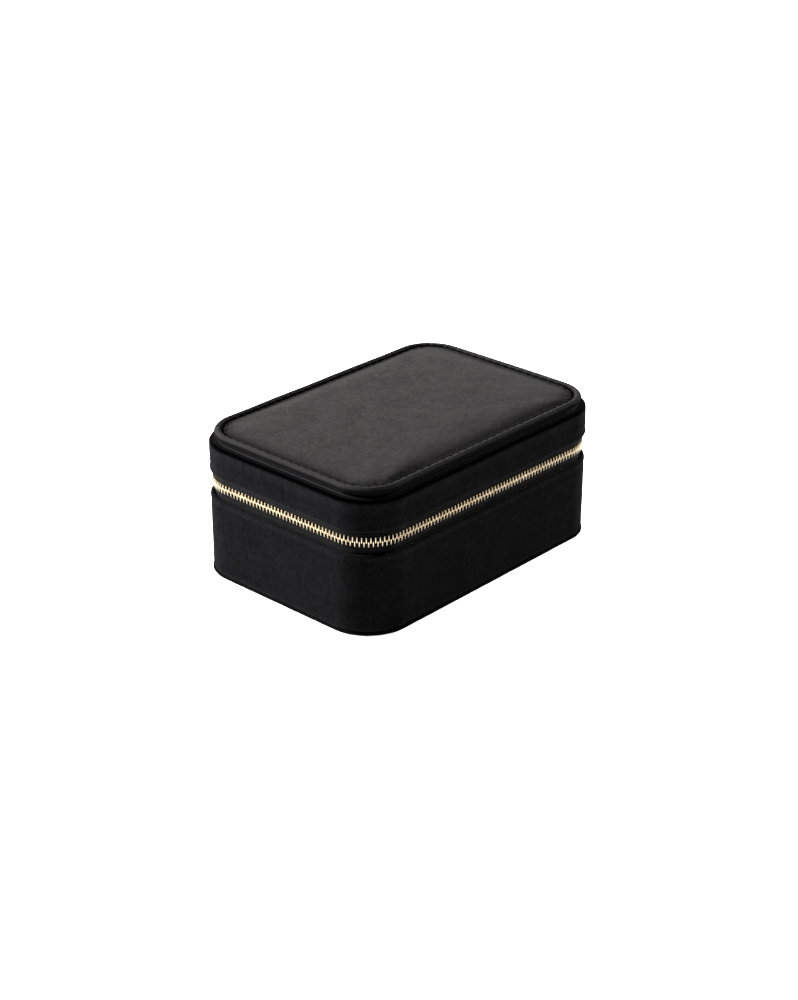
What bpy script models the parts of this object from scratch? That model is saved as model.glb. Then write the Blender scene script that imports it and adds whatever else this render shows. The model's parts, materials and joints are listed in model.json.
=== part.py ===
"""Travel jewelry case: a velvet-covered box whose padded lid is zipped to its base and hinged along the back.

The case stands on its bottom panel with its length along X, its front towards -Y and its hinge at +Y.
Walls are built in layers, and every layer is a rounded footprint drawn in from the outer face by an inset:
velvet cover, board, lining. A section is a list of (inset, height) points swept round the footprint.
"""

import math

import bmesh
import bpy

# Driving dimensions, in metres
CASE_LENGTH = 0.165
CASE_DEPTH = 0.115
CORNER_RADIUS = 0.022
BASE_RIM = 0.0398
ZIP_HEIGHT = 0.0461
LID_EDGE = 0.0510
LID_SHOULDER = 0.0664
PIPING_TOP = 0.0713
LID_CROWN = 0.0728

# Layers of the walls, as insets from the outer face
VELVET = 0.0012
BOARD = 0.0020
CLEARANCE = 0.0003
HEM = 0.0022
BOARD_OUT = VELVET + CLEARANCE
BOARD_IN = BOARD_OUT + BOARD
LINING_OUT = BOARD_IN + CLEARANCE
LINING_IN = LINING_OUT + 0.0010
TAPE_OUT = 0.0025
TAPE_IN = 0.0030
STRIP_IN = 0.0034
TAPE_NEAR = 0.00165
TEETH_OUT = 0.0008
TEETH_IN = 0.0030

# Top panel of the lid: a board edged with a rolled welt, and a foam pad under velvet
WELT_OUT = 0.0024
WELT_RADIUS = 0.0020
WELT_BOTTOM = 0.0673
WELT_NECK = 0.0036
TOP_BOARD_EDGE = 0.0044
PAD_EDGE = 0.0067
PAD_TOP = 0.0706

# Levels of the base
BOTTOM_PANEL = 0.0013
FLOOR_BOARD_TOP = 0.0036
FLOOR_TOP = 0.0049
BASE_LINING_TOP = 0.0414
CONTENTS_BOTTOM = FLOOR_TOP + CLEARANCE

# Zip
TOOTH_ROOT = 0.0023
TOOTH_TIP = 0.0006
CHAIN_GAP = 0.1060
HEM_HEIGHT = 0.0040
SLIDER_PARKED = 0.0050
SLIDER_LENGTH = 0.0080
SLIDER_HEIGHT = 0.0070
PLATE = 0.0009
BRIDGE_RADIUS = 0.00035
EYE_BORE = 0.00065
EYE_RADIUS = 0.0010
PULL_LENGTH = 0.0190
PULL_WIDTH = 0.0046
PULL_THICKNESS = 0.0010

# Hinge line: just behind the teeth, at the zip's height
HINGE_Y = CASE_DEPTH / 2 - TEETH_OUT + CLEARANCE
HINGE_Z = ZIP_HEIGHT

# Compartments
ROLL_COUNT = 6
ROLL_PITCH = 0.0118
ROLL_WIDTH = 0.0112
ROLL_LENGTH = 0.0720
ROLL_HEIGHT = 0.0200
BANK_BOARD = 0.0020
DIVIDER = 0.0024
LONG_DIVIDER_X = 0.0380
LONG_DIVIDER_TOP = 0.0320
CROSS_DIVIDER_TOP = 0.0300

# Mirror in the lid
MIRROR_HALF_X = 0.0547
MIRROR_HALF_Y = 0.0307
MIRROR_CORNER = 0.0040
MIRROR_BOTTOM = 0.0636
CEILING_BOTTOM = 0.0655

CORNER_STEPS = 6


def clear_scene():
    for obj in list(bpy.data.objects):
        bpy.data.objects.remove(obj, do_unlink=True)


def new_collection(name):
    collection = bpy.data.collections.new(name)
    bpy.context.scene.collection.children.link(collection)
    return collection


def new_material(name, colour, roughness, metallic=0.0):
    material = bpy.data.materials.new(name)
    material.use_nodes = True
    shader = material.node_tree.nodes["Principled BSDF"]
    shader.inputs["Base Color"].default_value = (*colour, 1.0)
    shader.inputs["Roughness"].default_value = roughness
    shader.inputs["Metallic"].default_value = metallic
    return material


def arc(centre, radius, start, stop, steps):
    """Points (inset, height) along an arc, with its angles in degrees from the inward direction."""
    points = []
    for step in range(steps + 1):
        angle = math.radians(start + (stop - start) * step / steps)
        points.append((centre[0] + radius * math.cos(angle), centre[1] + radius * math.sin(angle)))
    return points


def rounded_path(half_x, half_y, radius, gap=0.0):
    """A rounded rectangle from the middle of its back, clockwise from above, open over a gap in the back."""
    points = [(gap / 2, half_y)] if gap else []
    for sign_x, sign_y, start in ((1, 1, 90), (1, -1, 0), (-1, -1, -90), (-1, 1, -180)):
        centre_x = sign_x * (half_x - radius)
        centre_y = sign_y * (half_y - radius)
        for step in range(CORNER_STEPS + 1):
            angle = math.radians(start - 90 * step / CORNER_STEPS)
            points.append((centre_x + radius * math.cos(angle), centre_y + radius * math.sin(angle)))
    if gap:
        points.append((-gap / 2, half_y))
    return points


def footprint(inset, gap=0.0):
    return rounded_path(CASE_LENGTH / 2 - inset, CASE_DEPTH / 2 - inset, CORNER_RADIUS - inset, gap)


def add_object(name, bm, collection, material, smooth_angle=40):
    mesh = bpy.data.meshes.new(name)
    bm.to_mesh(mesh)
    bm.free()
    obj = bpy.data.objects.new(name, mesh)
    collection.objects.link(obj)
    obj.data.materials.append(material)
    mesh.shade_smooth()
    mesh.set_sharp_from_angle(angle=math.radians(smooth_angle))
    return obj


def loft(name, loops, collection, material, closed_section, closed_path):
    """Skins a list of loops: each loop follows the path at one point of the section."""
    bm = bmesh.new()
    rings = [[bm.verts.new(point) for point in loop] for loop in loops]
    ring_pairs = list(zip(rings, rings[1:]))
    if closed_section:
        ring_pairs.append((rings[-1], rings[0]))
    count = len(rings[0])
    for lower, upper in ring_pairs:
        for here in range(count if closed_path else count - 1):
            there = (here + 1) % count
            bm.faces.new((lower[here], lower[there], upper[there], upper[here]))
    if not closed_section:
        bm.faces.new(rings[0])
        bm.faces.new(rings[-1])
    elif not closed_path:
        bm.faces.new([ring[0] for ring in rings])
        bm.faces.new([ring[-1] for ring in rings])
    bmesh.ops.recalc_face_normals(bm, faces=bm.faces)
    return add_object(name, bm, collection, material)


def ring_wall(name, section, collection, material, gap=0.0):
    """A closed section swept round the footprint, or round all but a gap in the back."""
    loops = []
    for inset, height in section:
        loops.append([(x, y, height) for x, y in footprint(inset, gap)])
    return loft(name, loops, collection, material, closed_section=True, closed_path=not gap)


def slab(name, section, collection, material):
    """A solid plate: its section runs from the underside to the top and is closed by flat faces."""
    loops = []
    for inset, height in section:
        loops.append([(x, y, height) for x, y in footprint(inset)])
    return loft(name, loops, collection, material, closed_section=False, closed_path=True)


def block(name, low, high, collection, material, bevel=0.0, segments=2):
    """A box between two corners, with its edges rounded by a Bevel modifier."""
    bm = bmesh.new()
    bmesh.ops.create_cube(bm, size=1.0)
    for vert in bm.verts:
        for axis in range(3):
            vert.co[axis] = low[axis] if vert.co[axis] < 0 else high[axis]
    obj = add_object(name, bm, collection, material)
    if bevel:
        modifier = obj.modifiers.new("Rounded edges", "BEVEL")
        modifier.width = bevel
        modifier.segments = segments
    return obj


def rod(name, start, length, radius, collection, material, segments=12):
    """A cylinder along Y from its starting point."""
    bm = bmesh.new()
    bmesh.ops.create_cone(bm, cap_ends=True, segments=segments, radius1=radius, radius2=radius, depth=length)
    for vert in bm.verts:
        x, y, z = vert.co
        vert.co = (start[0] + x, start[1] + length / 2 + z, start[2] - y)
    return add_object(name, bm, collection, material)


def combine(target, tool, operation):
    """Unites or subtracts a hidden tool object."""
    tool.hide_render = True
    tool.display_type = "WIRE"
    modifier = target.modifiers.new(tool.name, "BOOLEAN")
    modifier.operation = operation
    modifier.solver = "EXACT"
    modifier.object = tool


def set_origin(obj, origin):
    """Moves an object's origin to a point and leaves its shape where it is."""
    for vert in obj.data.vertices:
        vert.co = [value - shift for value, shift in zip(vert.co, origin)]
    obj.location = origin


def carry(empty, obj):
    """Parents an object that is modelled in place."""
    obj.parent = empty
    obj.matrix_parent_inverse = empty.matrix_world.inverted()


def build_base_shell(parts, velvet, board, lining):
    slab(
        "base_bottom_panel",
        [(0.0006, 0.0), (0.0002, 0.0004), (0.0002, BOTTOM_PANEL)],
        parts,
        velvet,
    )
    turn = 0.0008
    bottom = BOTTOM_PANEL + CLEARANCE
    hem_radius = HEM / 2
    section = [(VELVET, bottom)]
    section += arc((turn, bottom + turn), turn, 270, 180, 2)
    section += arc((hem_radius, BASE_RIM - hem_radius), hem_radius, 180, 0, 6)
    section += [(HEM, BASE_RIM - HEM_HEIGHT + 0.0004), (VELVET, BASE_RIM - HEM_HEIGHT)]
    ring_wall("base_cover", section, parts, velvet)
    board_top = BASE_RIM - HEM_HEIGHT - CLEARANCE
    section = [(BOARD_OUT, bottom), (BOARD_OUT, board_top), (BOARD_IN, board_top), (BOARD_IN, bottom)]
    ring_wall("base_wall_board", section, parts, board)
    slab("base_floor_board", [(LINING_OUT, bottom), (LINING_OUT, FLOOR_BOARD_TOP)], parts, board)
    floor_bottom = FLOOR_BOARD_TOP + CLEARANCE
    slab("base_floor_lining", [(LINING_OUT, floor_bottom), (LINING_OUT, FLOOR_TOP)], parts, lining)
    lip = (LINING_IN - LINING_OUT) / 2
    section = [(LINING_IN, CONTENTS_BOTTOM), (LINING_OUT, CONTENTS_BOTTOM)]
    section += arc((LINING_OUT + lip, BASE_LINING_TOP - lip), lip, 180, 0, 4)
    ring_wall("base_wall_lining", section, parts, lining)


def build_compartments(parts, board, lining):
    back_of_bank = -CASE_DEPTH / 2 + LINING_IN + CLEARANCE + ROLL_COUNT * ROLL_PITCH
    front_of_bank = back_of_bank - ROLL_COUNT * ROLL_PITCH
    half_roll = ROLL_LENGTH / 2
    bank_top = CONTENTS_BOTTOM + BANK_BOARD
    block(
        "ring_bank_board",
        (-half_roll, front_of_bank, CONTENTS_BOTTOM),
        (half_roll, back_of_bank - CLEARANCE, bank_top),
        parts,
        board,
    )
    for number in range(ROLL_COUNT):
        start = front_of_bank + number * ROLL_PITCH
        block(
            f"ring_roll_{number + 1}",
            (-half_roll, start, bank_top + CLEARANCE),
            (half_roll, start + ROLL_WIDTH, bank_top + CLEARANCE + ROLL_HEIGHT),
            parts,
            lining,
            bevel=0.0036,
            segments=3,
        )
    wall_y = CASE_DEPTH / 2 - LINING_IN - CLEARANCE
    wall_x = CASE_LENGTH / 2 - LINING_IN - CLEARANCE
    for side, sign in (("left", -1), ("right", 1)):
        middle = sign * LONG_DIVIDER_X
        block(
            f"long_divider_{side}",
            (middle - DIVIDER / 2, -wall_y, CONTENTS_BOTTOM),
            (middle + DIVIDER / 2, wall_y, LONG_DIVIDER_TOP),
            parts,
            lining,
            bevel=0.0009,
        )
        ends = sorted((sign * wall_x, sign * (LONG_DIVIDER_X + DIVIDER / 2 + CLEARANCE)))
        block(
            f"cross_divider_{side}",
            (ends[0], -DIVIDER / 2, CONTENTS_BOTTOM),
            (ends[1], DIVIDER / 2, CROSS_DIVIDER_TOP),
            parts,
            lining,
            bevel=0.0009,
        )
    half_middle = LONG_DIVIDER_X - DIVIDER / 2 - CLEARANCE
    block(
        "cross_divider_middle",
        (-half_middle, back_of_bank, CONTENTS_BOTTOM),
        (half_middle, back_of_bank + DIVIDER, CROSS_DIVIDER_TOP),
        parts,
        lining,
        bevel=0.0009,
    )


def build_lid_shell(parts, velvet, board, lining, foam):
    nodes = []
    hem_radius = HEM / 2
    hem_top = LID_EDGE + HEM_HEIGHT
    shoulder = 0.0022
    ledge = BOARD_IN - 0.0001
    section = arc((hem_radius, LID_EDGE + hem_radius), hem_radius, 180, 360, 6)
    section += [(HEM, hem_top - 0.0004), (VELVET, hem_top)]
    section += [(VELVET, LID_SHOULDER - VELVET), (ledge, LID_SHOULDER - VELVET), (ledge, LID_SHOULDER)]
    section += arc((shoulder, LID_SHOULDER - shoulder), shoulder, 90, 180, 4)
    nodes.append(ring_wall("lid_cover", section, parts, velvet))
    low = hem_top + CLEARANCE
    high = LID_SHOULDER - VELVET - CLEARANCE
    section = [(BOARD_OUT, low), (BOARD_OUT, high), (BOARD_IN, high), (BOARD_IN, low)]
    nodes.append(ring_wall("lid_wall_board", section, parts, board))
    lip = (LINING_IN - LINING_OUT) / 2
    low = LID_EDGE - CLEARANCE
    high = CEILING_BOTTOM - CLEARANCE
    section = arc((LINING_OUT + lip, low + lip), lip, 180, 360, 4)
    section += [(LINING_IN, high), (LINING_OUT, high)]
    nodes.append(ring_wall("lid_wall_lining", section, parts, lining))
    section = [(LINING_OUT, CEILING_BOTTOM), (LINING_OUT, LID_SHOULDER)]
    nodes.append(slab("lid_ceiling_lining", section, parts, lining))
    board_low = LID_SHOULDER + CLEARANCE
    board_high = board_low + BOARD
    section = [(TOP_BOARD_EDGE, board_low), (TOP_BOARD_EDGE, board_high)]
    nodes.append(slab("lid_top_board", section, parts, board))
    pad_low = board_high + CLEARANCE
    board_side = TOP_BOARD_EDGE - CLEARANCE
    welt_in = WELT_OUT + 2 * WELT_RADIUS
    section = [(board_side, board_low), (WELT_NECK, board_low), (WELT_NECK, WELT_BOTTOM)]
    section += [(WELT_OUT + 0.0009, WELT_BOTTOM), (WELT_OUT + 0.0002, WELT_BOTTOM + 0.0009)]
    section += arc((WELT_OUT + WELT_RADIUS, PIPING_TOP - WELT_RADIUS), WELT_RADIUS, 180, 0, 8)
    section += [(welt_in, pad_low), (board_side, pad_low)]
    nodes.append(ring_wall("lid_piping", section, parts, velvet))
    nodes.append(slab("lid_top_foam", [(PAD_EDGE, pad_low), (PAD_EDGE, PAD_TOP)], parts, foam))
    skin = PAD_TOP + CLEARANCE
    section = [(PAD_EDGE, skin), (PAD_EDGE, skin + 0.0003), (PAD_EDGE + 0.0013, LID_CROWN - 0.0010)]
    section += [(PAD_EDGE + 0.0038, LID_CROWN - 0.0004), (PAD_EDGE + 0.0073, LID_CROWN - 0.0001)]
    section += [(PAD_EDGE + 0.0123, LID_CROWN)]
    nodes.append(slab("lid_top_cover", section, parts, velvet))
    return nodes


def build_mirror(parts, glass, lining):
    frame_width = 0.0043
    lip = 0.0017
    lip_top = MIRROR_BOTTOM - CLEARANCE
    frame_low = MIRROR_BOTTOM - 0.0011
    top = CEILING_BOTTOM - CLEARANCE
    section = [(-frame_width, frame_low + 0.0006), (-frame_width + 0.0006, frame_low), (lip - 0.0004, frame_low)]
    section += [(lip, frame_low + 0.0004), (lip, lip_top), (-CLEARANCE, lip_top), (-CLEARANCE, top)]
    section += [(-frame_width, top)]
    loops = []
    for inset, height in section:
        path = rounded_path(MIRROR_HALF_X - inset, MIRROR_HALF_Y - inset, MIRROR_CORNER - inset)
        loops.append([(x, y, height) for x, y in path])
    frame = loft("lid_mirror_frame", loops, parts, lining, closed_section=True, closed_path=True)
    path = rounded_path(MIRROR_HALF_X, MIRROR_HALF_Y, MIRROR_CORNER)
    loops = [[(x, y, height) for x, y in path] for height in (MIRROR_BOTTOM, top)]
    mirror = loft("lid_mirror", loops, parts, glass, closed_section=False, closed_path=True)
    return [frame, mirror]


def build_zip_half(suffix, side, parts, tape_cloth, velvet, brass):
    """One side of the zip: side is 1 for the lid's half and -1 for the base's."""
    edge = LID_EDGE + HEM_HEIGHT if side > 0 else BASE_RIM - HEM_HEIGHT
    root = ZIP_HEIGHT + side * TOOTH_ROOT
    tip = ZIP_HEIGHT + side * TOOTH_TIP
    tape_end = root + side * CLEARANCE
    bend = LID_EDGE if side > 0 else BASE_RIM
    thickness = TAPE_IN - TAPE_OUT
    section = [(TAPE_OUT, edge), (TAPE_OUT, bend), (TAPE_NEAR, tape_end), (TAPE_NEAR + thickness, tape_end)]
    section += [(TAPE_IN, bend), (TAPE_IN, edge)]
    nodes = [ring_wall(f"zip_tape_{suffix}", section, parts, tape_cloth, CHAIN_GAP)]
    section = [(TEETH_OUT, root), (TEETH_OUT, tip), (TEETH_IN, tip), (TEETH_IN, root)]
    stop_length = 0.0016
    teeth_gap = CHAIN_GAP + 2 * (stop_length + 2 * CLEARANCE)
    nodes.append(ring_wall(f"zip_teeth_{suffix}", section, parts, brass, teeth_gap))
    back = CASE_DEPTH / 2
    stop_tip = ZIP_HEIGHT + side * 0.0002
    for hand, sign in (("left", -1), ("right", 1)):
        ends = sorted((sign * (CHAIN_GAP / 2 + CLEARANCE), sign * (CHAIN_GAP / 2 + CLEARANCE + stop_length)))
        levels = sorted((root, stop_tip))
        low = (ends[0], back - TEETH_IN, levels[0])
        high = (ends[1], back - TEETH_OUT, levels[1])
        nodes.append(block(f"zip_stop_{suffix}_{hand}", low, high, parts, brass, bevel=0.0003, segments=1))
    levels = sorted((edge, ZIP_HEIGHT + side * CLEARANCE / 2))
    half = CHAIN_GAP / 2 - CLEARANCE
    low = (-half, back - STRIP_IN, levels[0])
    high = (half, back - TAPE_OUT, levels[1])
    nodes.append(block(f"hinge_strip_{suffix}", low, high, parts, velvet, bevel=0.0003, segments=1))
    return nodes


def build_slider(name, sign, parts, tools, brass):
    """A slider on the end wall: two plates joined by a web between the rows of teeth, and a bridge for its pull."""
    wall = CASE_LENGTH / 2
    middle = sign * SLIDER_PARKED
    outer_face = wall - TEETH_OUT + CLEARANCE + PLATE
    inner_face = wall - TEETH_IN - CLEARANCE
    half_length = SLIDER_LENGTH / 2
    half_height = SLIDER_HEIGHT / 2
    plate_low = (outer_face - PLATE, middle - half_length, ZIP_HEIGHT - half_height)
    plate_high = (outer_face, middle + half_length, ZIP_HEIGHT + half_height)
    slider = block(name, plate_low, plate_high, parts, brass, bevel=0.0004, segments=2)
    web_half = 0.0003
    web = block(
        f"{name}_web",
        (inner_face - PLATE / 2, middle - 0.0012, ZIP_HEIGHT - web_half),
        (outer_face - PLATE / 2, middle + 0.0012, ZIP_HEIGHT + web_half),
        tools,
        brass,
    )
    back_plate = block(
        f"{name}_back_plate",
        (inner_face - PLATE, middle - half_length, ZIP_HEIGHT - half_height),
        (inner_face, middle + half_length, ZIP_HEIGHT + half_height),
        tools,
        brass,
        bevel=0.0003,
        segments=1,
    )
    bridge_x = outer_face + CLEARANCE + EYE_RADIUS
    leg = 0.0007
    span = 0.0022
    bridge = rod(
        f"{name}_bridge",
        (bridge_x, middle - span - leg / 2, ZIP_HEIGHT),
        2 * span + leg,
        BRIDGE_RADIUS,
        tools,
        brass,
    )
    for tool in (web, back_plate, bridge):
        combine(slider, tool, "UNION")
    for end in (-1, 1):
        leg_middle = middle + end * (span + leg / 2)
        support = block(
            f"{name}_leg_{end + 1}",
            (outer_face - PLATE / 2, leg_middle - leg / 2, ZIP_HEIGHT - 0.0007),
            (bridge_x + 0.0007, leg_middle + leg / 2, ZIP_HEIGHT + 0.0007),
            tools,
            brass,
        )
        combine(slider, support, "UNION")
    return bridge_x, middle


def build_pull(name, bridge_x, middle, parts, tools, brass):
    """A pull tab that hangs from the bridge by a rolled eye."""
    half_eye = 0.0018
    pull = rod(name, (bridge_x, middle - half_eye, ZIP_HEIGHT), 2 * half_eye, EYE_RADIUS, parts, brass, 16)
    tab = block(
        f"{name}_tab",
        (bridge_x - PULL_THICKNESS / 2, middle - PULL_WIDTH / 2, ZIP_HEIGHT - PULL_LENGTH),
        (bridge_x + PULL_THICKNESS / 2, middle + PULL_WIDTH / 2, ZIP_HEIGHT - EYE_RADIUS + CLEARANCE),
        tools,
        brass,
        bevel=0.0003,
        segments=2,
    )
    for vert in tab.data.vertices:
        if vert.co.z > ZIP_HEIGHT - PULL_LENGTH / 2:
            vert.co.y = middle + (vert.co.y - middle) * 0.66
    bore = rod(
        f"{name}_bore",
        (bridge_x, middle - PULL_WIDTH, ZIP_HEIGHT),
        2 * PULL_WIDTH,
        EYE_BORE,
        tools,
        brass,
    )
    combine(pull, tab, "UNION")
    combine(pull, bore, "DIFFERENCE")
    set_origin(pull, (bridge_x, middle, ZIP_HEIGHT))
    return pull


def build_case():
    clear_scene()
    parts = new_collection("travel_jewelry_case")
    tools = new_collection("cutters")
    velvet = new_material("Black velvet", (0.012, 0.012, 0.013), 0.95)
    lining = new_material("Lining velvet", (0.020, 0.020, 0.022), 0.95)
    board = new_material("Grey board", (0.32, 0.30, 0.27), 0.90)
    foam = new_material("Foam", (0.75, 0.73, 0.65), 0.95)
    tape_cloth = new_material("Zip tape", (0.010, 0.010, 0.011), 0.85)
    brass = new_material("Pale gold", (0.80, 0.66, 0.40), 0.28, metallic=1.0)
    glass = new_material("Mirror", (0.85, 0.87, 0.88), 0.03, metallic=1.0)
    build_base_shell(parts, velvet, board, lining)
    build_compartments(parts, board, lining)
    build_zip_half("lower", -1, parts, tape_cloth, velvet, brass)
    hinge = bpy.data.objects.new("lid_hinge", None)
    hinge.location = (0.0, HINGE_Y, HINGE_Z)
    parts.objects.link(hinge)
    bpy.context.view_layer.update()
    lid_nodes = build_lid_shell(parts, velvet, board, lining, foam)
    lid_nodes += build_mirror(parts, glass, lining)
    lid_nodes += build_zip_half("upper", 1, parts, tape_cloth, velvet, brass)
    for node in lid_nodes:
        carry(hinge, node)
    for place, sign in (("front", -1), ("rear", 1)):
        bridge_x, middle = build_slider(f"zip_slider_{place}", sign, parts, tools, brass)
        build_pull(f"zip_pull_{place}", bridge_x, middle, parts, tools, brass)


build_case()
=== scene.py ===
"""Looks of the travel jewelry case: velvet, piping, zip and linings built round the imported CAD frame."""

import json
import math

import bmesh
import bpy
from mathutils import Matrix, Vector, noise
from mathutils.bvhtree import BVHTree


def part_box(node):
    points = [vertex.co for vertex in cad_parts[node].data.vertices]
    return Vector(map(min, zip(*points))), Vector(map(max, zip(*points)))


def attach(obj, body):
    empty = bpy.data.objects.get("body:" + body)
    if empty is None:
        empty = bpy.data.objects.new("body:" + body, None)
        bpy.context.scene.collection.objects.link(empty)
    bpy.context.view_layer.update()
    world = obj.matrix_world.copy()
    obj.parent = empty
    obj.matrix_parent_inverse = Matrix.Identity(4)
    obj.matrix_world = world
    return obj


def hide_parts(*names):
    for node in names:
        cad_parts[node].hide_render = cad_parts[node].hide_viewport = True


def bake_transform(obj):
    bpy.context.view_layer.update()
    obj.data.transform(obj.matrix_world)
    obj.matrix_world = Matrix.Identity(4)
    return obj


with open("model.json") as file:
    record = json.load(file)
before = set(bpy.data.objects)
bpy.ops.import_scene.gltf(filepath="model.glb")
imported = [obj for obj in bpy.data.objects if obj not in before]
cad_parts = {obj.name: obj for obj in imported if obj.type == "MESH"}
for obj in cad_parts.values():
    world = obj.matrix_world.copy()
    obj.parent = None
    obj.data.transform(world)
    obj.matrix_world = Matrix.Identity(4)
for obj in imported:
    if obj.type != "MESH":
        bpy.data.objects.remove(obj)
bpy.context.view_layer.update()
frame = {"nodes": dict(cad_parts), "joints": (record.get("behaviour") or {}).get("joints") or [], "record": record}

# The camera stands off the near front corner, at the height the case is seen from
CAMERA_AZIMUTH = -47.34
CAMERA_ELEVATION = 25.67
CAMERA_DISTANCE = 0.9535
CAMERA_LENS = 71.7
CAMERA_AIM = Vector((-0.00401, -0.00242, 0.02595))

# Sizes read from the frame
COVER_LOW, COVER_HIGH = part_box("base_cover")
LID_LOW, LID_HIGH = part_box("lid_cover")
PIPING_LOW, PIPING_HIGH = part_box("lid_piping")
FOAM_LOW, FOAM_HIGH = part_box("lid_top_foam")
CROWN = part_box("lid_top_cover")[1].z
HALF_X = COVER_HIGH.x
HALF_Y = COVER_HIGH.y
CORNER_RADIUS = 0.022
BASE_BOTTOM = COVER_LOW.z
BASE_RIM = COVER_HIGH.z
LID_EDGE = LID_LOW.z
LID_SHOULDER = LID_HIGH.z
PIPING_TOP = PIPING_HIGH.z
WELT_OUT = HALF_X - PIPING_HIGH.x
WELT_RADIUS = 0.0020
PAD_EDGE = HALF_X - FOAM_HIGH.x
HINGE = next(joint for joint in frame["joints"] if joint["name"] == "lid_hinge")
ZIP_Z = HINGE["pos_m"][2]
CHAIN_GAP = 2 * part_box("zip_stop_lower_right")[0].x
PATH_STEP = 0.0012
STITCH = 0.0049
TOOTH_PITCH = 0.00215


# ---------------------------------------------------------------- mesh helpers


def footprint(inset, step=PATH_STEP, gap=0.0):
    """A path along the case's rounded footprint, moved in by inset, from the middle of the back."""
    return rounded_path(HALF_X - inset, HALF_Y - inset, CORNER_RADIUS - inset, step, gap)


def rounded_path(half_x, half_y, radius, step, gap=0.0):
    """Evenly spaced (x, y, outward x, outward y, distance) round a rectangle, clockwise from above."""
    straight_x = 2 * (half_x - radius)
    straight_y = 2 * (half_y - radius)
    quarter = math.pi / 2 * radius
    pieces = [
        (straight_x / 2, "line", (0, 1), (1, 0), (0, half_y)),
        (quarter, "arc", 90, (half_x - radius, half_y - radius)),
        (straight_y, "line", (1, 0), (0, -1), (half_x, half_y - radius)),
        (quarter, "arc", 0, (half_x - radius, radius - half_y)),
        (straight_x, "line", (0, -1), (-1, 0), (half_x - radius, -half_y)),
        (quarter, "arc", -90, (radius - half_x, radius - half_y)),
        (straight_y, "line", (-1, 0), (0, 1), (-half_x, radius - half_y)),
        (quarter, "arc", 180, (radius - half_x, half_y - radius)),
        (straight_x / 2, "line", (0, 1), (1, 0), (radius - half_x, half_y)),
    ]
    total = sum(piece[0] for piece in pieces)
    first = gap / 2
    last = total - gap / 2
    count = max(8, round((last - first) / step))
    samples = count + 1 if gap else count
    points = []
    for number in range(samples):
        distance = first + (last - first) * number / count
        left = distance
        for piece in pieces:
            if left <= piece[0] + 1e-12:
                break
            left -= piece[0]
        if piece[1] == "line":
            normal, direction, start = piece[2:]
            x = start[0] + direction[0] * left
            y = start[1] + direction[1] * left
        else:
            angle = math.radians(piece[2]) - left / radius
            normal = (math.cos(angle), math.sin(angle))
            x = piece[3][0] + radius * normal[0]
            y = piece[3][1] + radius * normal[1]
        points.append((x, y, normal[0], normal[1], distance))
    return points


def arc(centre, radius, start, stop, steps):
    points = []
    for step in range(steps + 1):
        angle = math.radians(start + (stop - start) * step / steps)
        points.append((centre[0] + radius * math.cos(angle), centre[1] + radius * math.sin(angle)))
    return points


def dense(section, spacing):
    """Adds points to a section so that none of its steps is longer than spacing."""
    points = [section[0]]
    for start, stop in zip(section, section[1:]):
        length = math.dist(start, stop)
        steps = max(1, math.ceil(length / spacing))
        for step in range(1, steps + 1):
            share = step / steps
            points.append((start[0] + (stop[0] - start[0]) * share, start[1] + (stop[1] - start[1]) * share))
    return points


def placed(name, data):
    """A new object in the scene."""
    obj = bpy.data.objects.new(name, data)
    bpy.context.scene.collection.objects.link(obj)
    return obj


def finish_mesh(name, bm, smooth_angle=50):
    """Makes an object of a bmesh, smooth except across edges sharper than smooth_angle."""
    bmesh.ops.recalc_face_normals(bm, faces=bm.faces)
    mesh = bpy.data.meshes.new(name)
    bm.to_mesh(mesh)
    bm.free()
    obj = placed(name, mesh)
    mesh.shade_smooth()
    if smooth_angle:
        mesh.set_sharp_from_angle(angle=math.radians(smooth_angle))
    return obj


def wander(x, y, z, scale, seed=0.0):
    """Smooth noise from -1 to 1, about one wave for each scale metres."""
    return noise.noise(Vector((x / scale + seed, y / scale - seed, z / scale + 0.7 * seed)))


def inset_of(x, y):
    """How far a point of the plan lies inside the case's footprint."""
    past_x = abs(x) - (HALF_X - CORNER_RADIUS)
    past_y = abs(y) - (HALF_Y - CORNER_RADIUS)
    return CORNER_RADIUS - math.hypot(max(past_x, 0.0), max(past_y, 0.0)) - min(max(past_x, past_y), 0.0)


def ramp(value, low, high):
    """0 below low and 1 above high, with an even curve between them."""
    share = min(1.0, max(0.0, (value - low) / (high - low)))
    return share * share * (3.0 - 2.0 * share)


def wear(obj, tone):
    """Writes painted light and shade, from tone(inset, height), into a UV map that scales the pile's or metal's
    colour.
    """
    mesh = obj.data
    painted_levels = [tone(inset_of(vert.co.x, vert.co.y), vert.co.z) for vert in mesh.vertices]
    layer = mesh.uv_layers.new(name="wear")
    for loop in mesh.loops:
        layer.uv[loop.index].vector = (painted_levels[loop.vertex_index], 0.0)


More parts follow.
